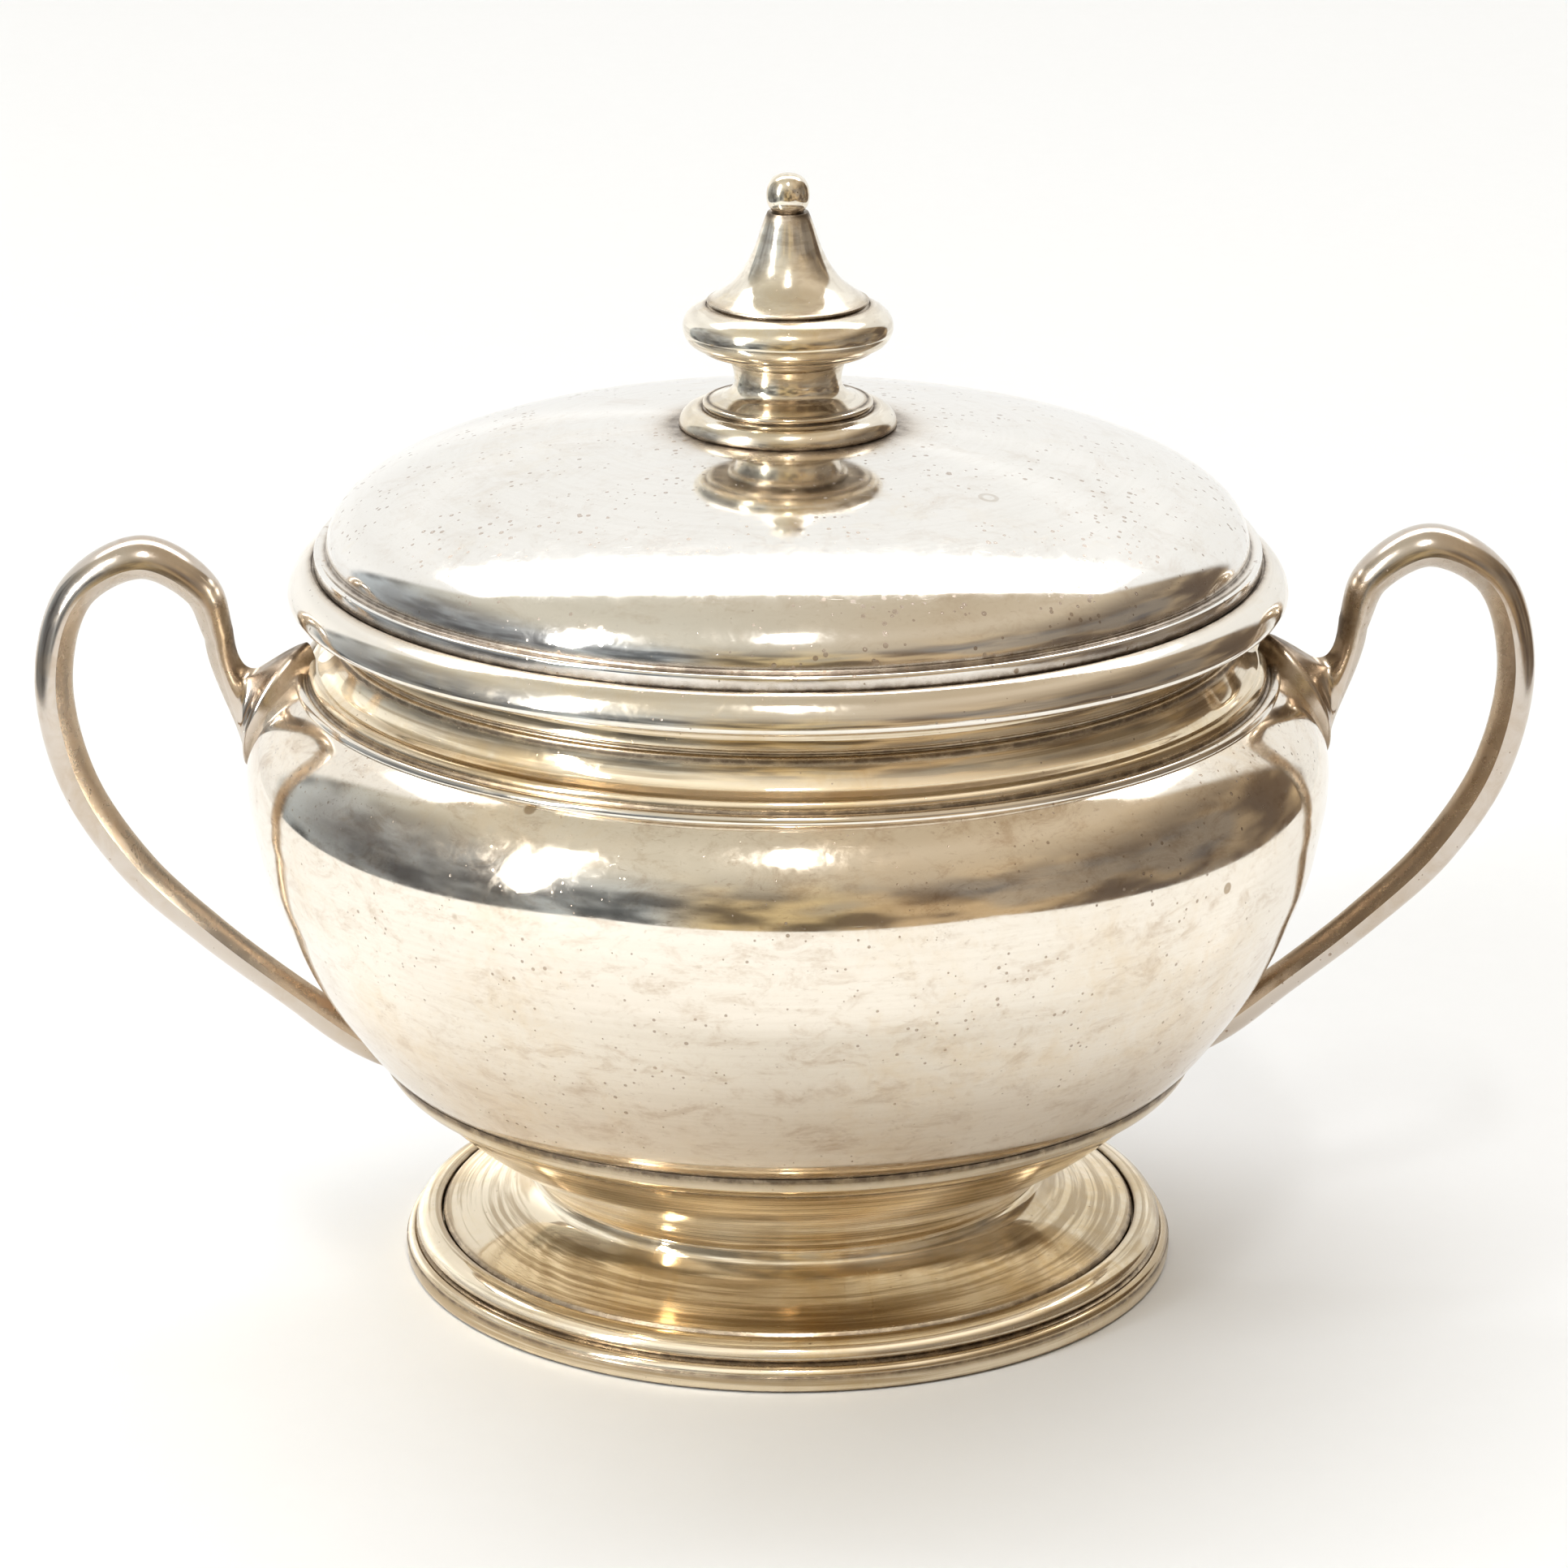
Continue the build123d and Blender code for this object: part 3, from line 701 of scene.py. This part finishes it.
def flare_ring(t, angles, top, edge):
    """One ring of the smooth surface from the bar's end, at t 0, to the plate's edge, at t 1."""
    from_top, out_of_top = 2 * t**3 - 3 * t**2 + 1, t**3 - 2 * t**2 + t
    from_edge, into_edge = -2 * t**3 + 3 * t**2, t**3 - t**2
    ring = []
    for p, q, angle in zip(top, edge, angles):
        outside, inside = max(math.sin(angle), 0.0), max(-math.sin(angle), 0.0)
        leave = BAR_DIRECTION * (FLARE_LEAVE[0] + FLARE_LEAVE[1] * outside + FLARE_LEAVE[2] * inside)
        pull = FLARE_ARRIVE[0] + FLARE_ARRIVE[1] * outside**2 + FLARE_ARRIVE[2] * inside
        arrive = (q - SADDLE).normalized() * pull
        ring.append(p * from_top + leave * out_of_top + q * from_edge + arrive * into_edge)
    return ring


def plate_rings(angles, top):
    """Rings from inside the bowl's wall, over the plate's rounded margin and up the flare to the bar."""
    margin = [margin_point(angle) for angle in angles]
    under = [margin_point(angle, sunk=True) for angle in angles]
    edge, walls = [], [[] for _ in WALL_STEPS]
    for q, foot in zip(margin, under):
        inward = Vector((0.0, -q.y, 0.0)) * WALL_NARROWER + (SADDLE - q).normalized() * WALL_SLOPE
        edge.append(q + inward)
        for wall, (out, down) in zip(walls, WALL_STEPS):
            wall.append(q + inward * (1 - out) + (foot - q) * down)
    flare = [flare_ring(s / FLARE_STEPS, angles, top, edge) for s in range(1, FLARE_STEPS + 1)]
    return [under] + walls[::-1] + flare[::-1]


def handle_tarnish_and_reflection(p, facing):
    """Tarnish at a point of the handle, and a painted dark reflection on the waist's side towards the bowl.
    facing: 1 outside the loop, -1 inside it.
    """
    off = math.dist((math.hypot(p.x, p.y), p.z), SHOULDER_CENTRE) - SHOULDER_ARC
    plate_seam = math.exp(-max(off, 0.0) / PLATE_SEAM_REACH) if p.z > HANDLE_MIDDLE else 0.0
    bar_foot = math.exp(-max(p.x - BAR_FOOT_PLACE, 0.0) / BAR_FOOT_REACH) if p.z < HANDLE_MIDDLE else 0.0
    waist = math.exp(-(((p.z - WAIST_PLACE[1]) / WAIST_REACH) ** 2)) if p.x < WAIST_PLACE[0] else 0.0
    inside = INSIDE_TARNISH * max(-facing, 0.0) ** 0.5
    # Painted dark reflection, carried like tarnish: the waist's side towards the bowl is darkened.
    behind = WAIST_DARK_REFLECTION * waist * max(facing, 0.0) ** 0.4
    return max(END_TARNISH * plate_seam, END_TARNISH * bar_foot, inside, behind)


def handle(node, side):
    """The handle on the +X side, or with side -1 its mirror image."""
    angles = [TURN * k / BAR_POINTS for k in range(BAR_POINTS)]
    bar = bar_rings(angles)
    bm = bmesh.new()
    patina_and_shade = bm.verts.layers.float.new("patina_and_shade")
    rings = []
    for ring in plate_rings(angles, bar[0]) + bar:
        verts = []
        for p, angle in zip(ring, angles):
            v = bm.verts.new((side * p.x * MM, p.y * MM, p.z * MM))
            v[patina_and_shade] = handle_tarnish_and_reflection(p, math.sin(angle))
            verts.append(v)
        rings.append(verts)
    for a, b in zip(rings, rings[1:]):
        skin(bm, a, b)
    bm.faces.new(rings[0][::-1])
    bm.faces.new(rings[-1])
    finished(node, bm, "bowl", cast_silver, sharp_degrees=34)


handle("handle_right", 1)
handle("handle_left", -1)


# ---- Lid ----------------------------------------------------------------------------------------
DOME_EDGE, DOME_FOOT, DOME_RISE = 51.6, 84.6, 13.4
DOME_POWER = 2.1              # 2 is an ellipse; more is flatter on top
LID_WALL = 1.0
STUD_HOLE = 1.6


def dome(inset):
    """The dome's curve from the edge to the hole for the stud, moved inward."""
    edge, rise = DOME_EDGE - inset, DOME_RISE - inset
    out = []
    steps = 72
    for s in range(steps):
        share = math.cos(math.pi / 2 * s / steps) ** (2 / DOME_POWER)
        out.append((edge * share, DOME_FOOT + rise * (1 - share**DOME_POWER) ** (1 / DOME_POWER)))
    return [point for point in out if point[0] >= STUD_HOLE]


dome_shell = joined(dome(0.0), dome(LID_WALL)[::-1])
turned("lid_dome", "lid", dome_shell, lid_silver, around=288, ease=0.05,
       grooves=[(12.2, 97.6, 2.2), (51.6, 84.6, 0.4)])

band = joined(
    [(51.6, 84.6), (51.75, 84.33)],
    arc((51.75, 84.33), (52.15, 84.22), (52.6, 84.3), 5),
    arc((52.6, 84.3), (52.9, 84.2), (53.0, 83.9), 5),
    [(53.0, 82.7), (47.95, 82.7), (47.95, 83.6), (50.6, 84.6)],
)
turned("lid_edge_band", "lid", band, lid_silver, around=288, ease=0.05,
       grooves=[(51.7, 84.4, 0.35), (53.0, 82.7, 0.4)])

bezel = [(48.95, 77.7), (48.95, 82.7), (47.95, 82.7), (47.95, 77.7)]
turned("lid_bezel", "lid", bezel, lid_silver, around=256, ease=0.2,
       grooves=[(48.95, 82.6, 0.8)])

# ---- Finial -------------------------------------------------------------------------------------
finial_foot = joined(
    [(9.55, 99.8)],
    arc((9.65, 99.85), (11.6, 99.3), (12.2, 98.0), 14),
    arc((12.2, 98.0), (12.15, 97.82), (12.0, 97.7), 3),
    [(10.0, 97.8), (6.0, 97.93), (1.6, 97.99), (1.6, 100.0), (9.3, 99.95)],
)
turned("finial_base", "lid", finial_foot, finial_silver, around=160, ease=0.03,
       grooves=[(9.6, 99.8, 0.45), (12.0, 97.7, 0.6)])

spool = joined(
    [(9.2, 99.95)],
    arc((9.2, 99.95), (9.5, 100.25), (9.15, 100.6), 6),
    [(9.0, 100.65), (8.85, 100.6)],
    smooth([(8.85, 100.6), (7.6, 101.0), (6.6, 101.55), (6.05, 102.3), (5.95, 103.1), (6.1, 104.1),
            (6.4, 105.0)], 6),
    [(6.75, 105.2)],
    arc((6.75, 105.2), (7.1, 105.5), (7.2, 106.25), 5),
    [(1.6, 106.25), (1.6, 99.95)],
)
turned("finial_neck", "lid", spool, finial_silver, around=160, ease=0.05,
       grooves=[(9.2, 99.9, 0.4), (7.3, 106.2, 0.6), (6.6, 105.1, 0.3), (8.9, 100.6, 0.3)])

knob = joined(
    [(8.7, 106.25)],
    arc((8.7, 106.25), (9.55, 106.35), (9.95, 106.75), 5),
    [(10.02, 106.85)],
    smooth([(10.02, 106.85), (10.95, 107.2), (11.6, 108.1), (11.76, 109.0), (11.5, 109.9), (10.85, 110.65),
            (10.0, 111.15), (9.2, 111.45)], 6),
    [(9.05, 111.25), (8.7, 111.6), (1.6, 111.6), (1.6, 106.25)],
)
turned("finial_knob", "lid", knob, finial_silver, around=160, ease=0.04,
       grooves=[(9.0, 111.5, 0.5), (8.8, 106.25, 0.75), (10.0, 106.8, 0.3)])

spire = joined(
    [(8.7, 111.6)],
    arc((8.7, 111.6), (9.0, 111.8), (8.75, 112.0), 4),
    smooth([(8.75, 112.0), (7.9, 112.55), (7.0, 113.2), (6.2, 113.85), (5.5, 114.6), (4.9, 115.45),
            (4.4, 116.3), (3.85, 117.4), (3.4, 118.6), (2.95, 120.0), (2.55, 121.1), (2.25, 121.8)], 6),
    [(0.0, 121.8), (0.0, 118.0), (1.5, 118.0), (1.5, 111.6)],
)
turned("finial_spire", "lid", spire, finial_silver, around=160, ease=0.05,
       grooves=[(8.7, 111.6, 0.6), (2.2, 121.7, 0.8)])

bead = joined(
    [(1.75, 121.8), (1.85, 122.0)],
    smooth([(1.85, 122.0), (2.2, 122.5), (2.4, 123.2), (2.4, 124.0), (2.2, 124.8), (1.75, 125.5),
            (1.0, 125.93), (0.0, 126.05)], 6),
    [(0.0, 121.8)],
)
turned("finial_bead", "lid", bead, finial_silver, around=128, ease=0.03,
       grooves=[(1.8, 121.85, 0.6)])

# ---- Fixing under the lid -----------------------------------------------------------------------
THREAD_PITCH = 0.5
THREAD_DEPTH = 0.16
THREAD_HALF_WIDTH = 0.13
STUD_FOOT_CUT, STUD_TOP_CUT = 0.25, 0.2
STUD_PLAIN_TOP = 0.3
NUT_FLATS = 5.5               # across the flats
NUT_BORE = 1.5
NUT_CUT = 0.3                 # height of its turned corners
NUT_FACE = 0.97               # the face's radius as a share of half the flats
NUT_TARNISH = (0.2, 0.5)      # on its faces, and how much more towards its corners


def stud():
    """Threaded rod: shallow rings cut all the way along."""
    low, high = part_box("finial_stud")
    bottom, top, r = low.z / MM, high.z / MM, high.y / MM
    side = [(0.0, bottom), (r - STUD_FOOT_CUT, bottom), (r, bottom + STUD_FOOT_CUT)]
    z = bottom + STUD_FOOT_CUT
    while z + THREAD_PITCH < top - STUD_PLAIN_TOP:
        middle = z + THREAD_PITCH / 2
        side += [(r, middle - THREAD_HALF_WIDTH), (r - THREAD_DEPTH, middle), (r, middle + THREAD_HALF_WIDTH)]
        z += THREAD_PITCH
    side += [(r, top - STUD_TOP_CUT), (r - STUD_TOP_CUT, top), (0.0, top)]
    return side


turned("finial_stud", "lid", stud(), fixing_metal, around=48, ease=0.02)
turned("finial_washer", "lid", [(1.5, 96.0), (5.0, 96.0), (5.0, 96.95), (3.0, 96.98), (1.5, 96.99)],
       fixing_metal, around=96, ease=0.15)


def nut(around=72):
    """Hexagon nut with its corners turned off at both faces."""
    low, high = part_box("finial_nut")
    bottom, top = low.z, high.z
    flats, bore, cut = NUT_FLATS * MM / 2, NUT_BORE * MM, NUT_CUT * MM
    face = flats * NUT_FACE
    corner = flats / math.cos(math.pi / 6)
    bm = bmesh.new()
    patina_and_shade = bm.verts.layers.float.new("patina_and_shade")
    levels = [
        (bottom, "bore"), (bottom, "face"), (bottom + cut, "side"),
        (top - cut, "side"), (top, "face"), (top, "bore"),
    ]
    rings = []
    for z, kind in levels:
        ring = []
        for k in range(around):
            angle = TURN * k / around
            side = flats / math.cos((angle + math.pi / 6) % (math.pi / 3) - math.pi / 6)
            r = {"bore": bore, "side": side, "face": min(side, face)}[kind]
            v = bm.verts.new((r * math.cos(angle), r * math.sin(angle), z))
            v[patina_and_shade] = NUT_TARNISH[0] + NUT_TARNISH[1] * (r - face) / (corner - flats)
            ring.append(v)
        rings.append(ring)
    for lower, upper in zip(rings, rings[1:] + rings[:1]):
        skin(bm, lower, upper)
    finished("finial_nut", bm, "lid", fixing_metal, sharp_degrees=25)


nut()


# ---- Stage --------------------------------------------------------------------------------------
def paper(name, far_glow=0.0):
    """Matt white paper with a very faint grain. far_glow: light it gives where it meets the white behind."""
    material = bpy.data.materials.new(name)
    material.use_nodes = True
    g = Graph(material.node_tree)
    shader = material.node_tree.nodes["Principled BSDF"]
    shader.inputs["Roughness"].default_value = 0.85
    shader.inputs["Specular IOR Level"].default_value = 0.15
    place = g.make("ShaderNodeTexCoord").outputs["Object"]
    darker = tuple(c * 0.985 for c in PAPER_COLOUR)
    grain = g.noise(place, scale=220.0, detail=4.0, rough=0.5)
    g.link(g.mix(grain, darker, PAPER_COLOUR), shader.inputs["Base Color"])
    if far_glow:
        distance = g.make("ShaderNodeVectorMath", operation="LENGTH")
        g.link(place, distance.inputs[0])
        glow = g.span(distance.outputs["Value"], GLOW_START, GLOW_FULL, 0.0, far_glow)
        g.link(glow, shader.inputs["Emission Strength"])
        shader.inputs["Emission Color"].default_value = (1.0, 1.0, 1.0, 1.0)
    return material


def floor_plate(name, corners, z, material):
    """A flat sheet of the floor, which isn't part of the object."""
    mesh = bpy.data.meshes.new(name)
    mesh.from_pydata([(x, y, z) for x, y in corners], [], [list(range(len(corners)))])
    mesh.materials.append(material)
    obj = bpy.data.objects.new(name, mesh)
    bpy.context.scene.collection.objects.link(obj)
    return obj


SHEET_CORNERS = [
    (-SHEET_HALF_WIDTH, SHEET_FRONT), (SHEET_HALF_WIDTH, SHEET_FRONT),
    (SHEET_HALF_WIDTH, SHEET_BACK), (-SHEET_HALF_WIDTH, SHEET_BACK),
]
floor_plate("sheet", SHEET_CORNERS, -SHEET_DROP, paper("paper_white"))
far_angles = [TURN * k / FAR_FLOOR_POINTS for k in range(FAR_FLOOR_POINTS)]
far_edge = [(FAR_FLOOR_RADIUS * math.cos(a), FAR_FLOOR_RADIUS * math.sin(a)) for a in far_angles]
far_floor = floor_plate("far_floor", far_edge, -FAR_FLOOR_DROP, paper("paper_far", FAR_GLOW))
far_floor.visible_glossy = False
far_floor.visible_diffuse = False
far_floor.visible_shadow = False

# What the polished metal sees around it.
GOLD = ((0.17, 0.13, 0.08), (0.66, 0.52, 0.29))        # each: where it is dim, where it is lit
COOL = ((0.10, 0.11, 0.12), (0.50, 0.55, 0.58))
BROWN = ((0.17, 0.12, 0.08), (0.62, 0.47, 0.29))
GREY = (0.26, 0.27, 0.28)
CEILING_LEFT, CEILING_RIGHT = (0.66, 0.62, 0.52), (0.56, 0.46, 0.33)
SIDE_DARK = (0.08, 0.07, 0.07)
WALL_WHITE = (0.95, 0.95, 0.935)
WALL_TOP = 0.384                          # the wall's top, 69 degrees above level: distance back over height
PANEL_LIGHT = (5.0, 5.0, 5.0)
BACKGROUND_STRENGTH = 1.05


def room(g, direction, x, z):
    """The dim room in front: cool at the left, golden in the middle, brown at the right."""
    lit = g.span(g.noise(direction, scale=3.2, detail=2.5, rough=0.5), 0.40, 0.62)
    hue = g.noise(direction, scale=1.7, detail=1.0, rough=0.5)
    gold, cool, brown = (g.mix(lit, *pair) for pair in (GOLD, COOL, BROWN))
    low = g.mix(g.span(x, -0.55, -0.25), cool, gold)
    low = g.mix(g.span(x, 0.05, 0.40), low, brown)
    low = g.mix(g.span(hue, 0.54, 0.66, 0.0, 0.5), low, GREY)
    ceiling = g.mix(g.span(x, -0.4, 0.5), CEILING_LEFT, CEILING_RIGHT)
    picture = g.mix(g.span(z, 0.20, 0.80), low, ceiling)
    return g.mix(g.span(g.calc("ABSOLUTE", x), 0.70, 0.97, 0.0, 0.50), picture, SIDE_DARK)


def wall_share(g, x, y, z, up):
    """1 where the white wall behind is seen, 0 beside and above it."""
    behind = g.span(g.calc("ADD", y, g.calc("MULTIPLY", z, -WALL_TOP)), -0.01, 0.01)
    width = g.calc("ADD", g.calc("MAXIMUM", y, 0.0), g.calc("MULTIPLY", up, 0.60))
    within = g.span(g.calc("SUBTRACT", width, g.calc("ABSOLUTE", x)), -0.06, 0.06)
    return g.calc("MULTIPLY", behind, within)


def panel_share(g, x, y, up):
    """1 where the bright panel is seen, high behind."""
    tilt = g.calc("DIVIDE", y, up)
    sideways = g.calc("ABSOLUTE", g.calc("DIVIDE", x, up))
    depth = g.calc("MULTIPLY", g.span(tilt, 0.374, 0.394), g.span(tilt, 0.80, 0.84, 1.0, 0.0))
    return g.calc("MULTIPLY", depth, g.span(sideways, 0.80, 1.02, 1.0, 0.0))


def world():
    """White wall behind, a bright panel above it, a dim warm room in front; plain white for the camera."""
    studio = bpy.data.worlds.new("studio")
    bpy.context.scene.world = studio
    studio.use_nodes = True
    studio.node_tree.nodes.clear()
    g = Graph(studio.node_tree)
    direction = g.make("ShaderNodeTexCoord").outputs["Generated"]
    parts = g.make("ShaderNodeSeparateXYZ")
    g.link(direction, parts.inputs[0])
    x, y, z = parts.outputs
    up = g.calc("MAXIMUM", z, 0.001)
    picture = g.mix(wall_share(g, x, y, z, up), room(g, direction, x, z), WALL_WHITE)
    picture = g.mix(panel_share(g, x, y, up), picture, PANEL_LIGHT)
    for_rays = g.make("ShaderNodeBackground")
    g.link(picture, for_rays.inputs["Color"])
    for_camera = g.make("ShaderNodeBackground", Color=(1.0, 1.0, 1.0, 1.0), Strength=BACKGROUND_STRENGTH)
    chooser = g.make("ShaderNodeMixShader")
    g.link(g.make("ShaderNodeLightPath").outputs["Is Camera Ray"], chooser.inputs[0])
    g.link(for_rays.outputs[0], chooser.inputs[1])
    g.link(for_camera.outputs[0], chooser.inputs[2])
    g.link(chooser.outputs[0], g.make("ShaderNodeOutputWorld").inputs["Surface"])


world()


def soft_light(name, azimuth, elevation, width, height, mirrored, lit, colour):
    """A soft elliptical light facing the bowl, at an azimuth from the front, positive to the left.

    The polished metal mirrors it at one brightness; the paper is lit by its twin of another.
    """
    a, e = math.radians(azimuth), math.radians(elevation)
    way = Vector((-math.sin(a) * math.cos(e), -math.cos(a) * math.cos(e), math.sin(e)))
    area = math.pi / 4 * width * height
    for suffix, radiance in (("_mirrored", mirrored), ("_fill", lit)):
        data = bpy.data.lights.new(name + suffix, "AREA")
        data.shape = "ELLIPSE"
        data.size, data.size_y = width, height
        data.energy = radiance * math.pi * area
        data.color = colour
        light = bpy.data.objects.new(name + suffix, data)
        light.location = LIGHT_AIM + way * LIGHT_DISTANCE
        light.rotation_euler = way.to_track_quat("Z", "Y").to_euler()
        light.visible_diffuse = suffix == "_fill"
        light.visible_glossy = suffix == "_mirrored"
        bpy.context.scene.collection.objects.link(light)


soft_light("left_light", azimuth=56, elevation=25, width=0.11, height=0.95, mirrored=130.0, lit=26.0,
           colour=(0.97, 0.99, 1.0))
soft_light("front_light", azimuth=1.5, elevation=58.5, width=0.085, height=0.32, mirrored=130.0, lit=31.0,
           colour=(1.0, 0.99, 0.97))


# ---- Camera -------------------------------------------------------------------------------------
back = Vector((0, -math.cos(CAMERA_ELEVATION), math.sin(CAMERA_ELEVATION)))
back = Matrix.Rotation(CAMERA_YAW, 3, "Z") @ back
camera_data = bpy.data.cameras.new("camera")
camera_data.lens = CAMERA_LENS
camera_data.sensor_width = SENSOR
camera_data.clip_start = 0.02
camera_data.clip_end = 50
camera = bpy.data.objects.new("camera", camera_data)
camera.location = CAMERA_TARGET + back * CAMERA_DISTANCE
camera.rotation_euler = back.to_track_quat("Z", "Y").to_euler()
bpy.context.scene.collection.objects.link(camera)
bpy.context.scene.camera = camera
bpy.context.scene.view_settings.view_transform = "Standard"
